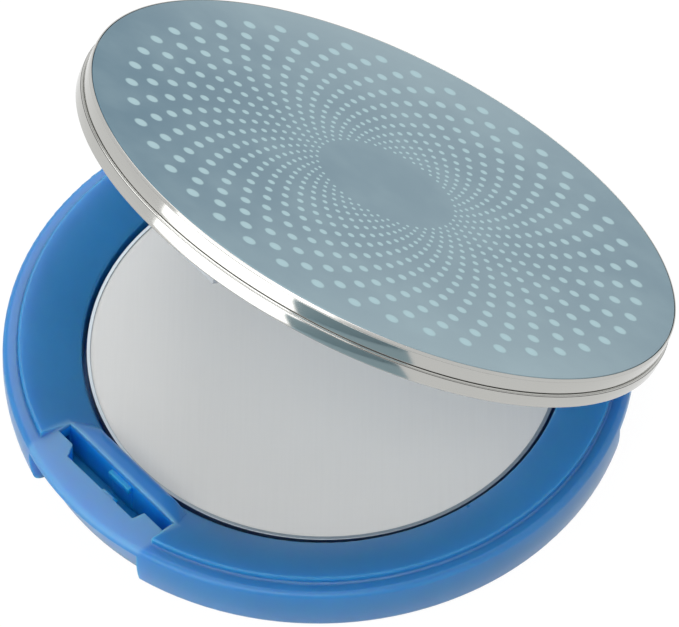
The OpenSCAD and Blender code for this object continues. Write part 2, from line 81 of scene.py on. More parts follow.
def colour(default, name, about):
    return FloatVectorProperty(
        name=name, description=about, default=default, size=3, min=0.0, max=1.0, subtype="COLOR"
    )


class PaletteSizes(bpy.types.PropertyGroup):
    """Sizes of the pieces that are made here, the lid's taken with the lid closed."""

    opening: FloatProperty(
        name="Opening",
        description="How far the lid stands open",
        default=math.radians(33.2),
        subtype="ANGLE",
    )
    hinge_back: length(0.0395, "Hinge distance", "Hinge axis behind the centre")
    hinge_height: length(0.0018, "Hinge height", "Hinge axis over the underside")
    lower_radius: length(0.0452, "Lower band radius", "Outer radius of the lower band")
    lower_bottom: length(0.0083, "Lower band bottom", "Height of the lower band's edge")
    lower_height: length(0.0019, "Lower band height", "Height of the lower band")
    upper_radius: length(0.04487, "Upper band radius", "Outer radius of the upper band")
    upper_bottom: length(0.0104, "Upper band bottom", "Height of the upper band's edge")
    upper_height: length(0.00195, "Upper band height", "Height of the upper band under its bezel")
    bezel_height: length(0.00044, "Bezel height", "Height of the bezel over the upper band")
    bezel_inner: length(0.0446, "Bezel radius", "Inner radius of the bezel")
    band_inner: length(0.04395, "Band inner radius", "Inner radius of both bands")
    plate_radius: length(0.04452, "Plate radius", "Radius of the printed plate")
    plate_bottom: length(0.0125, "Plate bottom", "Height of the printed plate's underside")
    plate_thickness: length(0.00033, "Plate thickness", "Thickness of the printed plate")
    ledge_half: length(0.0121, "Ledge half width", "Half the width of the ledge round the pocket")
    ledge_line: length(0.0355, "Ledge line", "Inner edge of the ledge, in front of the centre")
    # over this height the ledge is satin in its gloss and painted paler, a painted sheen
    ledge_low: length(0.00735, "Ledge height", "Height over which the ledge's face is satin")
    pocket_back: length(0.03515, "Pocket back", "Inner side of the pocket, in front of the centre")
    pocket_front: length(0.04135, "Pocket front", "Outer side of the pocket, in front of the centre")
    pocket_low: length(0.0006, "Pocket bottom", "Height of the pocket's bottom")
    # under this height the pocket's walls are painted a brighter blue, a painted glow for light passing
    # through them
    pocket_high: length(0.0072, "Pocket top", "Height under which the pocket's walls look clear")
    well_shift: length(0.00114, "Well shift", "How far the tray sits towards the hinge")
    hoop_radius: length(0.0338, "Hoop radius", "Outer radius of the hoop round the membrane")
    hoop_inner: length(0.03343, "Hoop inner radius", "Inner radius of the hoop's upright wall")
    hoop_flange: length(0.03325, "Flange radius", "Inner radius of the hoop's top flange")
    hoop_top: length(0.00522, "Hoop top", "Height of the hoop's top face")
    membrane_radius: length(0.03333, "Membrane radius", "Radius of the woven membrane")
    membrane_bottom: length(0.00482, "Membrane height", "Height of the membrane's underside")
    membrane_thickness: length(0.0002, "Membrane thickness", "Thickness of the membrane")
    pad_radius: length(0.0327, "Pad radius", "Radius of the sponge pad")
    pad_bottom: length(0.00167, "Pad bottom", "Height of the pad's underside")
    pad_thickness: length(0.0029, "Pad thickness", "Thickness of the dry pad")
    thread_pitch: length(0.0002, "Thread pitch", "Distance from thread to thread in the membrane")
    dot_columns: IntProperty(
        name="Dots in a ring", description="Number of dots in each ring of the print", default=44, min=6
    )
    dot_growth: FloatProperty(
        name="Ring growth",
        description="How much wider each ring of dots is than the last",
        default=1.084,
        min=1.01,
    )
    dot_share: FloatProperty(
        name="Dot size",
        description="Radius of a dot as a share of its distance from the middle",
        default=0.0245,
    )
    dot_bare: length(0.0098, "Bare middle", "Radius of the bare middle of the print")
    dot_reach: length(0.0415, "Printed radius", "Radius that the outermost ring of dots stays within")


class PaletteColours(bpy.types.PropertyGroup):
    """Colours of the finishes."""

    tint: colour((0.018, 0.202, 0.51), "Tinted plastic", "Blue of the base")
    # the ledge's paler blue is a painted sheen: it stands for the haze of light that the flat ledge
    # reflects
    ledge: colour((0.26, 0.45, 0.66), "Ledge", "Paler blue that the satin ledge is mixed with")
    # the pocket's blue is a painted glow: a brighter colour standing for light that passes through the thin
    # walls
    pocket: colour((0.01, 0.37, 0.88), "Pocket", "Clear blue of the thin walls inside the pocket")
    # the plate's dark and pale ground colours carry a painted reflection of the surroundings over the
    # plate's own blue
    plate_ground_dark_reflection: colour((0.075, 0.165, 0.225), "Print, dark", "Ground colour of the print where it is dark")
    plate_ground_pale_reflection: colour((0.30, 0.40, 0.44), "Print, pale", "Ground colour of the print where it is pale")
    dots: colour((0.33, 0.49, 0.53), "Dots", "Colour of the printed dots")
    plating: colour((0.49, 0.49, 0.47), "Plating", "Colour of the polished bands")
    membrane: colour((0.80, 0.785, 0.755), "Membrane", "Colour of the woven membrane")
    hoop: colour((0.40, 0.44, 0.47), "Hoop", "Colour of the hoop's metal")
    tray: colour((0.62, 0.63, 0.64), "Tray", "Colour of the tray's metal")
    sponge: colour((0.80, 0.72, 0.50), "Sponge", "Colour of the pad")
    liner: colour((0.60, 0.69, 0.76), "Lining", "Colour of the lid's lining")
    frame: colour((0.50, 0.53, 0.56), "Lid frame", "Frosted tint of the lid's inner frame")
    seal: colour((0.60, 0.65, 0.68), "Seal", "Colour of the lid's seal")
    adhesive: colour((0.45, 0.45, 0.42), "Adhesive", "Colour of the adhesive sheets")
    steel: colour((0.55, 0.55, 0.56), "Pin", "Colour of the hinge pin")
    floor: colour((0.80, 0.79, 0.77), "Floor", "Colour of the table")


# ---------------------------------------------------------------- shapes


def rounded_chain(corners, radii, steps=8):
    """A chain of straight lines in the (radius, height) plane whose corners are rounded.

    Each corner becomes an arc that touches both lines: it starts at the corner less tan(half the turn)
    times the radius, and its points are the arc's centre plus the radius times the turning normal.
    Returns the points and their outward normals, which are the tangents turned a quarter to the right.
    """
    corners = np.asarray(corners, float)
    points, normals = [], []
    for i, corner in enumerate(corners):
        before = corners[i] - corners[i - 1] if i else None
        after = corners[i + 1] - corners[i] if i + 1 < len(corners) else None
        if before is None or after is None:
            d = after if before is None else before
            d = d / np.linalg.norm(d)
            points.append(corner[None])
            normals.append(np.array([[d[1], -d[0]]]))
            continue
        d0, d1 = before / np.linalg.norm(before), after / np.linalg.norm(after)
        turn = math.atan2(d0[0] * d1[1] - d0[1] * d1[0], d0 @ d1)
        r = max(radii[i], 0.01 * MM)
        reach = r * math.tan(abs(turn) / 2)
        side = math.copysign(1.0, turn)
        centre = corner - d0 * reach + side * r * np.array([-d0[1], d0[0]])
        a = math.atan2(-d0[0], d0[1]) + turn * np.linspace(0, 1, steps)
        n = np.stack([np.cos(a), np.sin(a)], 1)
        points.append(centre + side * r * n)
        normals.append(n)
    return np.concatenate(points), np.concatenate(normals)


def turned(points, normals, segments):
    """A profile carried once round the Z axis: x is radius times cos, y is radius times sin of the turn,
    z is the height. Returns two grids, of places and of normals, with the turn as the first parameter."""
    a = np.linspace(0, TAU, segments, endpoint=False)[:, None]
    ones = np.ones_like(a)

    def grid(rz):
        return np.stack([rz[:, 0] * np.cos(a), rz[:, 0] * np.sin(a), rz[:, 1] * ones], -1)

    return grid(points), grid(normals)


def mesh_piece(name, places, normals=None, move=None, uv=None):
    """A closed surface from a grid whose first parameter goes once round.

    Rows that lie on the axis become one pole point with a fan of triangles, and a profile that doesn't
    end on the axis is closed from its last row to its first. Faces are the grid's cells, so they point
    where the turn crossed with the profile points. move takes the places, and the normals with its
    second argument set, to where the piece stands.
    """
    turns, rows = places.shape[:2]
    on_axis = np.hypot(places[..., 0], places[..., 1]).max(0) < 1e-9
    low, high = int(on_axis[0]), rows - int(on_axis[-1])
    kept = high - low
    index = np.arange(turns * kept).reshape(turns, kept)
    ahead = np.roll(index, -1, 0)
    faces = np.stack([index[:, :-1], ahead[:, :-1], ahead[:, 1:], index[:, 1:]], -1).reshape(-1, 4).tolist()
    rows_of = [(slice(None), slice(low, high))]
    if low:
        pole = np.full(turns, turns * kept)
        faces += np.stack([pole, ahead[:, 0], index[:, 0]], -1).tolist()
        rows_of.append((slice(0, 1), slice(0, 1)))
    if high < rows:
        pole = np.full(turns, turns * kept + low)
        faces += np.stack([pole, index[:, -1], ahead[:, -1]], -1).tolist()
        rows_of.append((slice(0, 1), slice(rows - 1, rows)))
    if not low and high == rows:
        closing = np.stack([index[:, -1], ahead[:, -1], ahead[:, 0], index[:, 0]], -1)
        faces += closing.reshape(-1, 4).tolist()
    co = np.concatenate([places[r].reshape(-1, 3) for r in rows_of])
    mesh = bpy.data.meshes.new(name)
    mesh.from_pydata((co if move is None else move(co)).tolist(), [], faces)
    mesh.update()
    mesh.polygons.foreach_set("use_smooth", np.ones(len(mesh.polygons), bool))
    if uv is not None:
        corner = np.zeros(len(mesh.loops), np.int32)
        mesh.loops.foreach_get("vertex_index", corner)
        mesh.uv_layers.new(name="plan").data.foreach_set("uv", uv(co)[corner].astype(np.float32).ravel())
    if normals is not None:
        n = np.concatenate([normals[r].reshape(-1, 3) for r in rows_of])
        mesh.normals_split_custom_set_from_vertices((n if move is None else move(n, True)).tolist())
    piece = bpy.data.objects.new(name, mesh)
    bpy.context.scene.collection.objects.link(piece)
    return piece


def plan(co):
    """Plan coordinates of a piece before it is opened: x and y, 100 mm to one, the middle at a half."""
    return co[:, :2] * 10.0 + 0.5


def lid_mover(sizes):
    """Turns points of the closed lid about the hinge line to where the lid stands.

    y and z, measured from the hinge, turn by the opening, and x stays. Normals only turn.
    """
    c, s = math.cos(sizes.opening), math.sin(sizes.opening)
    hinge = np.array([0.0, sizes.hinge_back, sizes.hinge_height])

    def move(p, normal=False):
        p = p if normal else p - hinge
        q = np.stack([p[:, 0], c * p[:, 1] + s * p[:, 2], -s * p[:, 1] + c * p[:, 2]], 1)
        return q if normal else q + hinge

    return move


def lid_piece(name, sizes, corners, radii, node, segments=360, steps=8):
    """A turned piece of the lid that stands for a node, stood open."""
    places, normals = turned(*rounded_chain(corners, radii, steps), segments)
    piece = mesh_piece(name, places, normals, lid_mover(sizes), plan)
    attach(piece, "lid")
    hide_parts(node)
    return piece


def well_mover(sizes):
    """Shifts points from the middle of the base to the middle of the well."""

    def move(p, normal=False):
        return p if normal else p + np.array([0.0, sizes.well_shift, 0.0])

    return move


# ---------------------------------------------------------------- finishes


class Wire:
    """A socket in a material. Arithmetic on it adds Math nodes, so an expression reads as the sum it is."""

    def __init__(self, shop, socket):
        self.shop = shop
        self.socket = socket

    def __add__(self, other):
        return self.shop.math("ADD", self, other)

    def __sub__(self, other):
        return self.shop.math("SUBTRACT", self, other)

    def __rsub__(self, other):
        return self.shop.math("SUBTRACT", other, self)

    def __mul__(self, other):
        return self.shop.math("MULTIPLY", self, other)

    def __truediv__(self, other):
        return self.shop.math("DIVIDE", self, other)

    def __lt__(self, other):
        return self.shop.math("LESS_THAN", self, other)

    def __gt__(self, other):
        return self.shop.math("GREATER_THAN", self, other)

    __radd__ = __add__
    __rmul__ = __mul__


class Shop:
    """One material and the nodes in it."""

    def __init__(self, name):
        self.material = bpy.data.materials.new(name)
        self.material.use_nodes = True
        self.tree = self.material.node_tree
        self.tree.nodes.clear()

    def add(self, kind, settings=None, inputs=None, out=0):
        """Adds a node of a type, sets it and fills its sockets with values or links. Gives back the wire
        of one output, or the node itself where it has none."""
        node = self.tree.nodes.new(kind)
        for key, value in (settings or {}).items():
            setattr(node, key, value)
        for key, value in (inputs or {}).items():
            socket = node.inputs[key]
            if isinstance(value, Wire):
                self.tree.links.new(value.socket, socket)
            elif hasattr(value, "__len__") and socket.type == "RGBA":
                socket.default_value = (*value[:3], 1.0)
            else:
                socket.default_value = value
        return Wire(self, node.outputs[out]) if len(node.outputs) else node

    def math(self, operation, *values):
        return self.add("ShaderNodeMath", {"operation": operation}, dict(enumerate(values)))

    def step(self, value, low, high):
        """0 under low, 1 over high, and a straight rise between."""
        return self.add(
            "ShaderNodeMapRange", {"clamp": True}, {"Value": value, "From Min": low, "From Max": high}
        )

    def ease(self, value, low, high):
        """0 under low, 1 over high, and a soft rise between."""
        return self.add(
            "ShaderNodeMapRange",
            {"clamp": True, "interpolation_type": "SMOOTHSTEP"},
            {"Value": value, "From Min": low, "From Max": high},
        )

    def above(self, value, limit, soft):
        """0 under a limit and 1 over it, with a soft rise of the given half width."""
        return self.ease(value, limit - soft, limit + soft)

    def below(self, value, limit, soft):
        """1 under a limit and 0 over it, with a soft fall of the given half width."""
        return self.ease(value, limit + soft, limit - soft)

    def place(self):
        return self.add("ShaderNodeTexCoord", out="Object")

    def parts(self, vector):
        """The three coordinates of a vector."""
        node = self.add("ShaderNodeSeparateXYZ", None, {0: vector}).socket.node
        return [Wire(self, output) for output in node.outputs]

    def scaled(self, vector, scale, turn=(0.0, 0.0, 0.0)):
        return self.add(
            "ShaderNodeMapping",
            {"vector_type": "POINT"},
            {"Vector": vector, "Scale": scale, "Rotation": turn},
        )

    def noise(self, vector, scale, detail=3.0, rough=0.5):
        return self.add(
            "ShaderNodeTexNoise",
            None,
            {"Vector": vector, "Scale": scale, "Detail": detail, "Roughness": rough},
        )

    def blend(self, mask, first, second):
        """A colour between two, by a mask."""
        return self.add(
            "ShaderNodeMix", {"data_type": "RGBA"}, {0: mask, 6: first, 7: second}, out=2
        )

    def bump(self, height, distance, strength=1.0, normal=None):
        given = {"Height": height, "Distance": distance, "Strength": strength}
        if normal is not None:
            given["Normal"] = normal
        return self.add("ShaderNodeBump", None, given)

    def soft_edges(self, radius):
        """Normals that round the hard edges by a radius."""
        return self.add("ShaderNodeBevel", {"samples": 6}, {"Radius": radius})

    def finish(self, **sockets):
        """The Principled surface with its sockets, and the material's end."""
        names = {key: key.replace("_", " ").title().replace("Ior", "IOR") for key in sockets}
        given = {names[key]: value for key, value in sockets.items()}
        surface = self.add("ShaderNodeBsdfPrincipled", {"subsurface_method": "RANDOM_WALK"}, given)
        self.add("ShaderNodeOutputMaterial", None, {"Surface": surface})
        return self.material


def dress(node, material):
    """Gives a CAD node its finish."""
    piece = frame["nodes"][node]
    for one in piece.material_slots:
        one.material = material
    if not piece.material_slots:
        piece.data.materials.append(material)


def tinted_plastic(name, sizes, colours, depth, roughness, grain, ledge=0.0):
    """Tinted, slightly milky moulding.

    Light sinks in some millimetres, edges are softened, and the gloss varies as on a moulded face that has
    been handled. The ledge round the catch pocket is satin in its gloss, and its colour is mixed with a
    paler blue by the share given, a painted sheen. The walls inside the pocket are painted a brighter blue,
    a painted glow that stands for light passing through the thin plastic. Both are bounded by their
    coordinates.
    """
    shop = Shop(name)
    place = shop.place()
    x, y, z = shop.parts(place)
    beside = 1.0 - shop.above(shop.math("ABSOLUTE", x), sizes.ledge_half, 0.5 * MM)
    # the ledge's mask: real satin gloss in the roughness, and a painted sheen in the colour
    satin = shop.below(y, -sizes.ledge_line, 0.3 * MM) * shop.above(z, sizes.ledge_low, 0.35 * MM)
    satin = satin * ledge * beside
    # where the walls inside the catch pocket get a painted glow
    pocket = shop.below(y, -sizes.pocket_back, 0.25 * MM) * shop.above(y, -sizes.pocket_front, 0.25 * MM)
    pocket = pocket * shop.below(z, sizes.pocket_high, 0.2 * MM) * shop.above(z, sizes.pocket_low, 0.2 * MM)
    pocket = pocket * beside
    tint = [c * depth for c in colours.tint]
    cloudy = shop.noise(place, 55.0, 2.0)
    handled = shop.noise(place, 160.0, 4.0, 0.6)
    fine = shop.noise(place, 5200.0, 2.0, 0.6)
    deep, pale = [c * 0.94 for c in tint], [min(1.0, c * 1.05) for c in tint]
    base = shop.blend(shop.ease(cloudy, 0.3, 0.7), deep, pale)
    # painted sheen: the satin ledge is mixed towards a paler blue
    base = shop.blend(satin, base, tuple(colours.ledge))
    # painted glow: the pocket's walls are mixed towards a brighter blue, standing for light through the
    # thin plastic
    base = shop.blend(pocket * 0.85, base, tuple(colours.pocket))
    rough = roughness + (handled - 0.5) * 0.12 + satin * 0.5
    normal = shop.bump(fine, 0.012 * MM, grain, shop.soft_edges(0.35 * MM))
    normal = shop.bump(shop.noise(place, 90.0, 1.0), 0.4 * MM, 0.05, normal)
    return shop.finish(
        base_color=base,
        roughness=rough,
        normal=normal,
        ior=1.49,
        subsurface_weight=0.95,
        subsurface_radius=(0.2, 0.7, 1.3),
        subsurface_scale=6.0 * MM,
    )


def polished_plating(name, shade):
    """Polished plating: a mirror with hair lines round the band and a breath of haze."""
    shop = Shop(name)
    place = shop.place()
    haze = shop.noise(place, 120.0, 3.0)
    lines = shop.noise(shop.scaled(place, (40.0, 40.0, 9000.0)), 1.0, 3.0, 0.7)
    rough = 0.055 + haze * 0.05 + lines * 0.03
    base = shop.blend(haze, [c * 0.97 for c in shade], shade)
    normal = shop.bump(lines, 0.002 * MM, 0.15)
    return shop.finish(base_color=base, metallic=1.0, roughness=rough, normal=normal)


def printed_metal(name, sizes, colours):
    """Lacquered metal with rings of dots.

    The ring number is the logarithm of the distance from the middle by the growth. The column number is
    the share of the turn, shifted by half a column from ring to ring. A dot stands where both are whole,
    and is a circle in the two offsets, each as a share of the distance. The ground's shade is a painted
    reflection of the surroundings over the plate's own blue: a saddle over the plate, a sum of the two
    coordinates, a square and their product, with a slant across it.
    """
    shop = Shop(name)
    plan_xy = shop.add("ShaderNodeUVMap", {"uv_map": "plan"})
    u, v, _ = shop.parts(plan_xy)
    x, y = (u - 0.5) * 0.1, (v - 0.5) * 0.1
    away = shop.math("SQRT", x * x + y * y)
    turn = shop.math("ARCTAN2", y, x)
    step = math.log(sizes.dot_growth)
    ring = shop.math("LOGARITHM", away / sizes.dot_bare, math.e) / step
    number = shop.math("ROUND", ring)
    column = turn * (sizes.dot_columns / TAU) + number * 0.5
    off_column = (column - shop.math("ROUND", column)) * (TAU / sizes.dot_columns)
    off_ring = (ring - number) * step
    off = shop.math("SQRT", off_column * off_column + off_ring * off_ring)
    rings = math.floor(math.log(sizes.dot_reach / sizes.dot_bare) / step)
    printed = (number > 0.5) * (number < rings + 0.5)
    dot = (1.0 - shop.ease(off, sizes.dot_share * 0.8, sizes.dot_share * 1.15)) * printed
    core = (1.0 - shop.ease(off, sizes.dot_share * 0.3, sizes.dot_share * 0.8)) * printed
    # painted reflection: the ground's shade changes over the plate as a mirrored surrounding would
    across = shop.ease(x * 0.75 - y * 0.66, -0.045, 0.05)
    cloudy = shop.noise(plan_xy, 9.0, 3.0)
    painted_reflection = 0.22 + y * 5.0 + x * x * 60.0 - x * y * 260.0 + across * 0.3
    dark, pale = tuple(colours.plate_ground_dark_reflection), tuple(colours.plate_ground_pale_reflection)
    ground = shop.blend(shop.ease(painted_reflection, -0.1, 1.1), dark, pale)
    ground = shop.blend(shop.ease(cloudy, 0.35, 0.75) * 0.18, ground, (0.33, 0.46, 0.50))
    ink = shop.blend(core * 0.5, tuple(colours.dots), [min(1.0, c * 1.08) for c in colours.dots])
    base = shop.blend(dot, ground, ink)
    speck = shop.noise(plan_xy, 900.0, 2.0)
    rough = 0.38 + (speck - 0.5) * 0.08 + dot * 0.1
    normal = shop.bump(dot, 0.03 * MM, 0.5)
    return shop.finish(
        base_color=base,
        metallic=0.5 - dot * 0.3,
        roughness=rough,
        normal=normal,
        coat_weight=0.1,
        coat_roughness=0.2,
    )


def woven(name, shade, pitch):
    """Plain weave. Warp and weft are cosines of the two thread numbers, and the product of the two sines
    says which of them lies on top; threads differ a little in shade along their length."""
    shop = Shop(name)
    place = shop.place()
    turned_place = shop.scaled(place, (1.0 / pitch,) * 3, (0.0, 0.0, math.radians(-49.0)))
    a, b, _ = shop.parts(turned_place)
    warp = shop.math("COSINE", a * TAU)
    weft = shop.math("COSINE", b * TAU)
    top = shop.ease(shop.math("SINE", a * (TAU / 2)) * shop.math("SINE", b * (TAU / 2)), -0.3, 0.3)
    height = top * warp + (1.0 - top) * weft
    slub = shop.noise(shop.scaled(turned_place, (0.5, 0.012, 1.0)), 1.0, 3.0, 0.6)
    cross = shop.noise(shop.scaled(turned_place, (0.012, 0.5, 1.0)), 1.0, 3.0, 0.6)
    damp = shop.noise(place, 60.0, 2.0)
    mask = shop.ease(slub * 0.6 + cross * 0.15 + damp * 0.25, 0.36, 0.64)
    base = shop.blend(mask, [c * 0.99 for c in shade], [min(1.0, c * 1.008) for c in shade])
    return shop.finish(
        base_color=base,
        roughness=0.62 + slub * 0.1,
        normal=shop.bump(height * 0.7 + slub * 0.3, 0.03 * MM, 0.07),
        sheen_weight=0.1,
        sheen_roughness=0.4,
    )


def spun_metal(name, shade, roughness, centre_y):
    """Turned sheet metal: fine rings round the middle in its gloss and its relief."""
    shop = Shop(name)
    place = shop.place()
    x, y, _ = shop.parts(place)
    y = y - centre_y
    away = shop.math("SQRT", x * x + y * y)
    rings = shop.noise(shop.add("ShaderNodeCombineXYZ", None, {0: away * 9000.0}), 1.0, 4.0, 0.7)
    dull = shop.noise(place, 150.0, 3.0)
    base = shop.blend(dull, [c * 0.92 for c in shade], shade)
    normal = shop.bump(rings, 0.006 * MM, 0.3)
    return shop.finish(base_color=base, metallic=1.0, roughness=roughness + rings * 0.12, normal=normal)


def foam(name, shade):
    """Fine open foam: two sizes of cell, painted darker inside as shade, with a soft matte skin."""
    shop = Shop(name)
    place = shop.place()
    big = shop.add("ShaderNodeTexVoronoi", None, {"Vector": place, "Scale": 900.0})
    small = shop.add("ShaderNodeTexVoronoi", None, {"Vector": place, "Scale": 2300.0})
    pores_and_shade = shop.step(big, 0.05, 0.5) * 0.6 + shop.step(small, 0.05, 0.5) * 0.4
    # painted shade: the cells are darker inside
    base = shop.blend(pores_and_shade, [c * 0.62 for c in shade], shade)
    normal = shop.bump(pores_and_shade, 0.25 * MM, 0.8)
    return shop.finish(base_color=base, roughness=0.9, normal=normal, sheen_weight=0.2)


def plain_moulding(name, shade, roughness, grain, distance, spread):
    """A plain moulded or cast surface: fine grain in the relief, slow change in shade and gloss, and
    softened edges. The grain's depth and the scale of the slow change are given."""
    shop = Shop(name)
    place = shop.place()
    slow = shop.noise(place, spread, 3.0)
    fine = shop.noise(place, 3800.0, 3.0, 0.6)
    base = shop.blend(shop.ease(slow, 0.3, 0.7), [c * 0.95 for c in shade], shade)
    normal = shop.bump(fine, distance, grain, shop.soft_edges(0.12 * MM))
    return shop.finish(base_color=base, roughness=roughness + (slow - 0.5) * 0.15, normal=normal)


def steel(name, shade):
    """Drawn wire: fine lines along the pin."""
    shop = Shop(name)
    place = shop.place()
    lines = shop.noise(shop.scaled(place, (30.0, 9000.0, 9000.0)), 1.0, 4.0, 0.7)
    base = shop.blend(lines, [c * 0.85 for c in shade], shade)
    normal = shop.bump(lines, 0.004 * MM, 0.4)
    return shop.finish(base_color=base, metallic=1.0, roughness=0.22 + lines * 0.2, normal=normal)


# ---------------------------------------------------------------- the pieces


class PALETTE_OT_base(bpy.types.Operator):
    """Finish the base shell, its bottom plate and the hinge pin"""

    bl_idname = "palette.base"
    bl_label = "Base"
    bl_options = {"REGISTER", "UNDO"}

    def execute(self, context):
        sizes = context.scene.palette_sizes
        colours = context.scene.palette_colours
        dress("base_shell", tinted_plastic("tinted plastic", sizes, colours, 1.0, 0.3, 0.3, 0.42))
        dress("base_plate", tinted_plastic("tinted plastic, satin", sizes, colours, 0.92, 0.42, 1.0))
        dress("hinge_pin", steel("drawn steel", tuple(colours.steel)))
        return {"FINISHED"}


class PALETTE_OT_tray(bpy.types.Operator):
    """Finish the water tray and make the sponge pad in it"""

    bl_idname = "palette.tray"
    bl_label = "Tray and Pad"
    bl_options = {"REGISTER", "UNDO"}

    def execute(self, context):
        sizes = context.scene.palette_sizes
        colours = context.scene.palette_colours
        dress("water_tray", spun_metal("spun tray metal", tuple(colours.tray), 0.3, sizes.well_shift))
        # a crowned disc: the side bulges as a superellipse, and the faces rise a little to the middle
        t = np.linspace(-math.pi / 2, math.pi / 2, 41)
        half = sizes.pad_thickness / 2
        side_r = sizes.pad_radius - half + half * np.sign(np.cos(t)) * np.abs(np.cos(t)) ** 0.6
        side_z = half * 0.94 * np.sign(np.sin(t)) * np.abs(np.sin(t)) ** 0.6
        inner = np.linspace(0.0, 1.0, 30)[:, None]
        start = np.array([[side_r[0], side_z[0]]])
        under = inner * start
        under[:, 1] = -half * (0.94 + 0.06 * np.cos(inner[:, 0] * math.pi / 2) ** 2)
        over = under[::-1] * [1.0, -1.0]
        profile = np.concatenate([under[:-1], np.stack([side_r, side_z], 1), over[1:]])
        profile[:, 1] += sizes.pad_bottom + half
        places, _ = turned(profile, profile, 240)
        pad = mesh_piece("sponge", places, None, well_mover(sizes), plan)
        pad.data.materials.append(foam("foam", tuple(colours.sponge)))
        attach(pad, "tray")
        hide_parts("sponge_pad")
        return {"FINISHED"}


class PALETTE_OT_cover(bpy.types.Operator):
    """Make the woven membrane and the hoop that holds it"""

    bl_idname = "palette.cover"
    bl_label = "Membrane and Hoop"
    bl_options = {"REGISTER", "UNDO"}

    def execute(self, context):
        sizes = context.scene.palette_sizes
        colours = context.scene.palette_colours
        r, z0, t = sizes.membrane_radius, sizes.membrane_bottom, sizes.membrane_thickness
        share = np.linspace(0.0, 1.0, 60)
        edge = np.linspace(-math.pi / 2, math.pi / 2, 9)
        under = np.stack([share * (r - t / 2), np.full(60, z0)], 1)
        rim = np.stack([r - t / 2 + t / 2 * np.cos(edge), z0 + t / 2 + t / 2 * np.sin(edge)], 1)
        over = under[::-1] + [0.0, t]
        profile = np.concatenate([under, rim[1:-1], over])
        places, _ = turned(profile, profile, 256)
        # the sheet is held round its edge and lies a few hundredths of a millimetre uneven over the pad
        x, y = places[..., 0] / r, places[..., 1] / r
        held = np.clip(1.0 - x * x - y * y, 0.0, 1.0)
        sag = 0.03 + 0.02 * np.cos(4.1 * x + 1.3 * y) + 0.015 * np.sin(6.3 * y - 2.2 * x)
        places[..., 2] -= held * sag * MM
        sheet = mesh_piece("membrane_sheet", places, None, well_mover(sizes), plan)
        sheet.data.materials.append(woven("woven membrane", tuple(colours.membrane), sizes.thread_pitch))
        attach(sheet, "cover")
        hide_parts("membrane")
        top, out, inner, lip = sizes.hoop_top, sizes.hoop_radius, sizes.hoop_inner, sizes.hoop_flange
        corners = [
            (out, top),
            (lip, top),
            (lip, top - 0.18 * MM),
            (inner, top - 0.18 * MM),
            (inner, top - 1.7 * MM),
            (out, top - 1.7 * MM),
            (out, top),
        ]
        radii = [0, 0.07, 0.06, 0.05, 0.06, 0.06, 0]
        shape, facing = rounded_chain(corners, [radius * MM for radius in radii], 6)
        shape, facing = shape[1:-1], facing[1:-1]
        corner = np.linspace(0.0, math.pi / 2, 6)
        arc = np.stack([np.cos(corner), np.sin(corner)], 1)
        shape = np.concatenate([shape, np.array([out - 0.09 * MM, top - 0.09 * MM]) + 0.09 * MM * arc])
        facing = np.concatenate([facing, arc])
        places, normals = turned(shape, facing, 360)
        hoop = mesh_piece("membrane_ring", places, normals, well_mover(sizes), plan)
        hoop.data.materials.append(spun_metal("hoop metal", tuple(colours.hoop), 0.36, sizes.well_shift))
        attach(hoop, "cover")
        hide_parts("membrane_hoop")
        return {"FINISHED"}


class PALETTE_OT_bands(bpy.types.Operator):
    """Make the two polished bands of the lid"""

    bl_idname = "palette.bands"
    bl_label = "Lid Bands"
    bl_options = {"REGISTER", "UNDO"}

    def execute(self, context):
        sizes = context.scene.palette_sizes
        colours = context.scene.palette_colours
        plating = polished_plating("polished plating", tuple(colours.plating))
        inner, out, z0 = sizes.band_inner, sizes.lower_radius, sizes.lower_bottom
        z1 = z0 + sizes.lower_height
        mid = (z0 + z1) / 2
        corners = [
            (inner, mid),
            (inner, z0),
            (out - 0.12 * MM, z0),
            (out - 0.06 * MM, z0 + 0.1 * MM),
            (out + 0.01 * MM, mid),
            (out - 0.06 * MM, z1 - 0.1 * MM),
            (out - 0.12 * MM, z1),
            (out - 0.26 * MM, z1),
            (out - 0.26 * MM, z1 + 0.19 * MM),
            (inner, z1 + 0.19 * MM),
            (inner, mid),
        ]
        radii = [0, 0.06, 0.12, 0.25, 9.0, 0.25, 0.22, 0.03, 0.03, 0.06, 0]
        band = lid_piece(
            "lower_band", sizes, corners, [r * MM for r in radii], "lid_lower_band", 480
        )
        band.data.materials.append(plating)
        out, z0 = sizes.upper_radius, sizes.upper_bottom
        z1 = z0 + sizes.upper_height
        web = z1 - 0.35 * MM
        top = z1 + sizes.bezel_height
        corners = [
            (0.0, web),
            (inner, web),
            (inner, z0),
            (out - 0.14 * MM, z0),
            (out - 0.05 * MM, z0 + 0.12 * MM),
            (out, (z0 + z1) / 2),
            (out - 0.04 * MM, z1 - 0.1 * MM),
            (out - 0.1 * MM, z1 - 0.03 * MM),
            (out - 0.01 * MM, z1 + 0.04 * MM),
            (out - 0.12 * MM, top),
            (sizes.bezel_inner, top),
            (sizes.bezel_inner, z1 + 0.05 * MM),
            (0.0, z1 + 0.05 * MM),
        ]
        radii = [0, 0.1, 0.06, 0.2, 0.25, 12.0, 0.05, 0.03, 0.05, 0.09, 0.06, 0.05, 0]
        band = lid_piece(
            "upper_band", sizes, corners, [r * MM for r in radii], "lid_upper_band", 480
        )
        band.data.materials.append(plating)
        return {"FINISHED"}


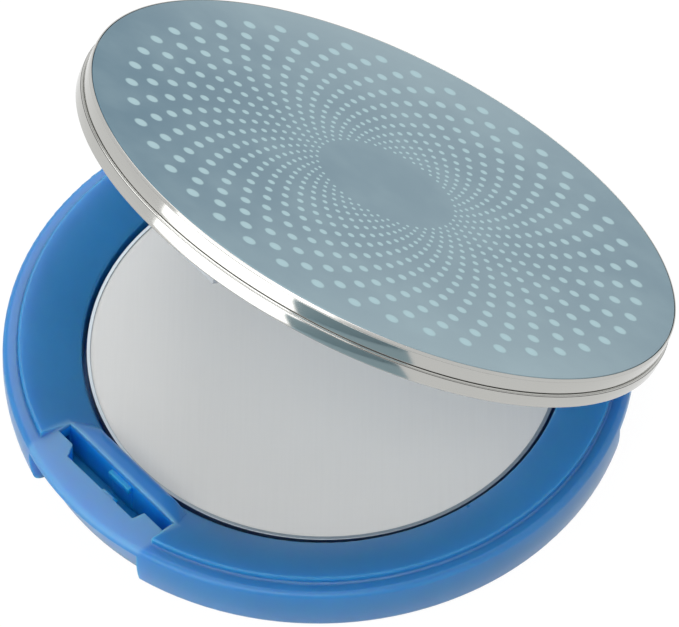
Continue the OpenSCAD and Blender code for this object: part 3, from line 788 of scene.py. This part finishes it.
class PALETTE_OT_plate(bpy.types.Operator):
    """Make the printed plate on the lid"""

    bl_idname = "palette.plate"
    bl_label = "Printed Plate"
    bl_options = {"REGISTER", "UNDO"}

    def execute(self, context):
        sizes = context.scene.palette_sizes
        colours = context.scene.palette_colours
        r, z0 = sizes.plate_radius, sizes.plate_bottom
        z1 = z0 + sizes.plate_thickness
        corners = [(0.0, z0), (r, z0), (r, z1), (0.0, z1)]
        radii = [0, 0.05 * MM, 0.14 * MM, 0]
        plate = lid_piece("dotted_plate", sizes, corners, radii, "printed_plate", 360)
        plate.data.materials.append(printed_metal("printed metal", sizes, colours))
        return {"FINISHED"}


class PALETTE_OT_lining(bpy.types.Operator):
    """Finish what the lid has inside: frame, lining, seal and adhesive sheets"""

    bl_idname = "palette.lining"
    bl_label = "Lid Lining"
    bl_options = {"REGISTER", "UNDO"}

    def execute(self, context):
        colours = context.scene.palette_colours
        frosted, lining, rubber = tuple(colours.frame), tuple(colours.liner), tuple(colours.seal)
        dress("lid_frame", plain_moulding("frosted lid frame", frosted, 0.4, 0.4, 0.01 * MM, 60.0))
        dress("lid_liner", plain_moulding("lining plastic", lining, 0.24, 0.4, 0.01 * MM, 40.0))
        dress("lid_seal", plain_moulding("seal rubber", rubber, 0.55, 0.8, 0.02 * MM, 90.0))
        sheet = tuple(colours.adhesive)
        adhesive = plain_moulding("adhesive sheet", sheet, 0.8, 1.0, 0.04 * MM, 200.0)
        dress("plate_tape", adhesive)
        dress("liner_tape", adhesive)
        return {"FINISHED"}


# ---------------------------------------------------------------- the stage


def looking(place, target):
    """The turn that makes a lamp or a camera at a place look at a target."""
    return (Vector(target) - Vector(place)).to_track_quat("-Z", "Y").to_euler()


def softbox(name, place, target, size, power):
    """A white rectangular lamp that looks at a point."""
    lamp = bpy.data.lights.new(name, "AREA")
    lamp.shape = "RECTANGLE"
    lamp.size, lamp.size_y = size
    lamp.energy = power
    holder = bpy.data.objects.new(name, lamp)
    holder.location = place
    holder.rotation_euler = looking(place, target)
    bpy.context.scene.collection.objects.link(holder)


def rays(tree, kinds):
    """1 for rays of the kinds named, 0 for all others."""
    path = tree.nodes.new("ShaderNodeLightPath")
    total = path.outputs[kinds[0]]
    for kind in kinds[1:]:
        more = tree.nodes.new("ShaderNodeMath")
        more.operation = "MAXIMUM"
        tree.links.new(total, more.inputs[0])
        tree.links.new(path.outputs[kind], more.inputs[1])
        total = more.outputs[0]
    return total


SEEN = ("Is Camera Ray", "Is Glossy Ray", "Is Transmission Ray")


def paper(name, shade, kinds, share):
    """Paper of a shade, which for rays of the kinds named is white by a share."""
    shop = Shop(name)
    plain = shop.add("ShaderNodeBsdfDiffuse", None, {"Color": shade})
    white = shop.add("ShaderNodeEmission", None, {"Color": (1.0, 1.0, 1.0), "Strength": PAPER_GLOW})
    mask = Wire(shop, rays(shop.tree, kinds)) * share
    mixed = shop.add("ShaderNodeMixShader", None, {0: mask, 1: plain, 2: white})
    shop.add("ShaderNodeOutputMaterial", None, {"Surface": mixed})
    return shop.material


def stage_piece(name, corners, faces, material):
    """A sheet that belongs to the stage."""
    mesh = bpy.data.meshes.new(name)
    mesh.from_pydata(corners, [], faces)
    mesh.materials.append(material)
    piece = bpy.data.objects.new(name, mesh)
    bpy.context.scene.collection.objects.link(piece)


def studio_world(scene):
    """A world that is plain white where it is seen and dimmer as a light."""
    world = bpy.data.worlds.new("studio")
    scene.world = world
    world.use_nodes = True
    tree = world.node_tree
    tree.nodes.clear()
    mix = tree.nodes.new("ShaderNodeMixShader")
    tree.links.new(rays(tree, SEEN), mix.inputs[0])
    looks = ((0.98, 0.99, 1.0, 1.0), WORLD_STRENGTH), ((1.0, 1.0, 1.0, 1.0), 1.0)
    for place, (shade, strength) in enumerate(looks, 1):
        light = tree.nodes.new("ShaderNodeBackground")
        light.inputs["Color"].default_value = shade
        light.inputs["Strength"].default_value = strength
        tree.links.new(light.outputs[0], mix.inputs[place])
    end = tree.nodes.new("ShaderNodeOutputWorld")
    tree.links.new(mix.outputs[0], end.inputs[0])


class PALETTE_OT_stage(bpy.types.Operator):
    """Set up the table, the backdrop, the lamps and the camera"""

    bl_idname = "palette.stage"
    bl_label = "Stage"
    bl_options = {"REGISTER", "UNDO"}

    def execute(self, context):
        scene = bpy.context.scene
        scene.view_settings.view_transform = "Standard"
        half = TABLE_HALF
        corners = [(-half, -half, 0.0), (half, -half, 0.0), (half, half, 0.0), (-half, half, 0.0)]
        floor = tuple(context.scene.palette_colours.floor)
        stage_piece("table", corners, [(0, 1, 2, 3)], paper("table paper", floor, SEEN, 0.93))
        # a grey card in front on the right, folded up at its far edge, which the polished bands mirror;
        # seen straight on it is as white as the backdrop
        low = [(x, y, CARD_LOW) for x, y in CARD_NEAR + CARD_FAR]
        high = [(x, y, CARD_HIGH) for x, y in CARD_FAR]
        grey = paper("card paper", (0.35, 0.475, 0.53), SEEN[:1], 1.0)
        stage_piece("grey_card", low + high, [(0, 1, 2, 3), (3, 2, 4, 5)], grey)
        studio_world(scene)
        for lamp in LAMPS:
            softbox(*lamp)
        lens = bpy.data.cameras.new("camera")
        lens.sensor_width = SENSOR_WIDTH
        lens.lens = FOCAL_LENGTH
        lens.clip_start, lens.clip_end = 0.02, 30.0
        camera = bpy.data.objects.new("camera", lens)
        camera.location = CAMERA_PLACE
        camera.rotation_euler = looking(CAMERA_PLACE, CAMERA_TARGET)
        scene.collection.objects.link(camera)
        scene.camera = camera
        return {"FINISHED"}


class PALETTE_PT_panel(bpy.types.Panel):
    """The palette's steps and sizes in the sidebar"""

    bl_idname = "PALETTE_PT_panel"
    bl_label = "Round Wet Palette"
    bl_space_type = "VIEW_3D"
    bl_region_type = "UI"
    bl_category = "Palette"

    def draw(self, context):
        for step in STEPS:
            self.layout.operator(step.bl_idname)
        for group in (context.scene.palette_sizes, context.scene.palette_colours):
            column = self.layout.column()
            for name in group.__annotations__:
                column.prop(group, name)


STEPS = (
    PALETTE_OT_stage,
    PALETTE_OT_base,
    PALETTE_OT_tray,
    PALETTE_OT_cover,
    PALETTE_OT_bands,
    PALETTE_OT_plate,
    PALETTE_OT_lining,
)
CLASSES = (PaletteSizes, PaletteColours, *STEPS, PALETTE_PT_panel)


def register():
    for one in CLASSES:
        bpy.utils.register_class(one)
    bpy.types.Scene.palette_sizes = PointerProperty(type=PaletteSizes)
    bpy.types.Scene.palette_colours = PointerProperty(type=PaletteColours)


def unregister():
    del bpy.types.Scene.palette_colours
    del bpy.types.Scene.palette_sizes
    for one in reversed(CLASSES):
        bpy.utils.unregister_class(one)


def main():
    register()
    for step in STEPS:
        group, name = step.bl_idname.split(".")
        getattr(getattr(bpy.ops, group), name)()
    bpy.context.view_layer.update()


if __name__ == "__main__":
    main()
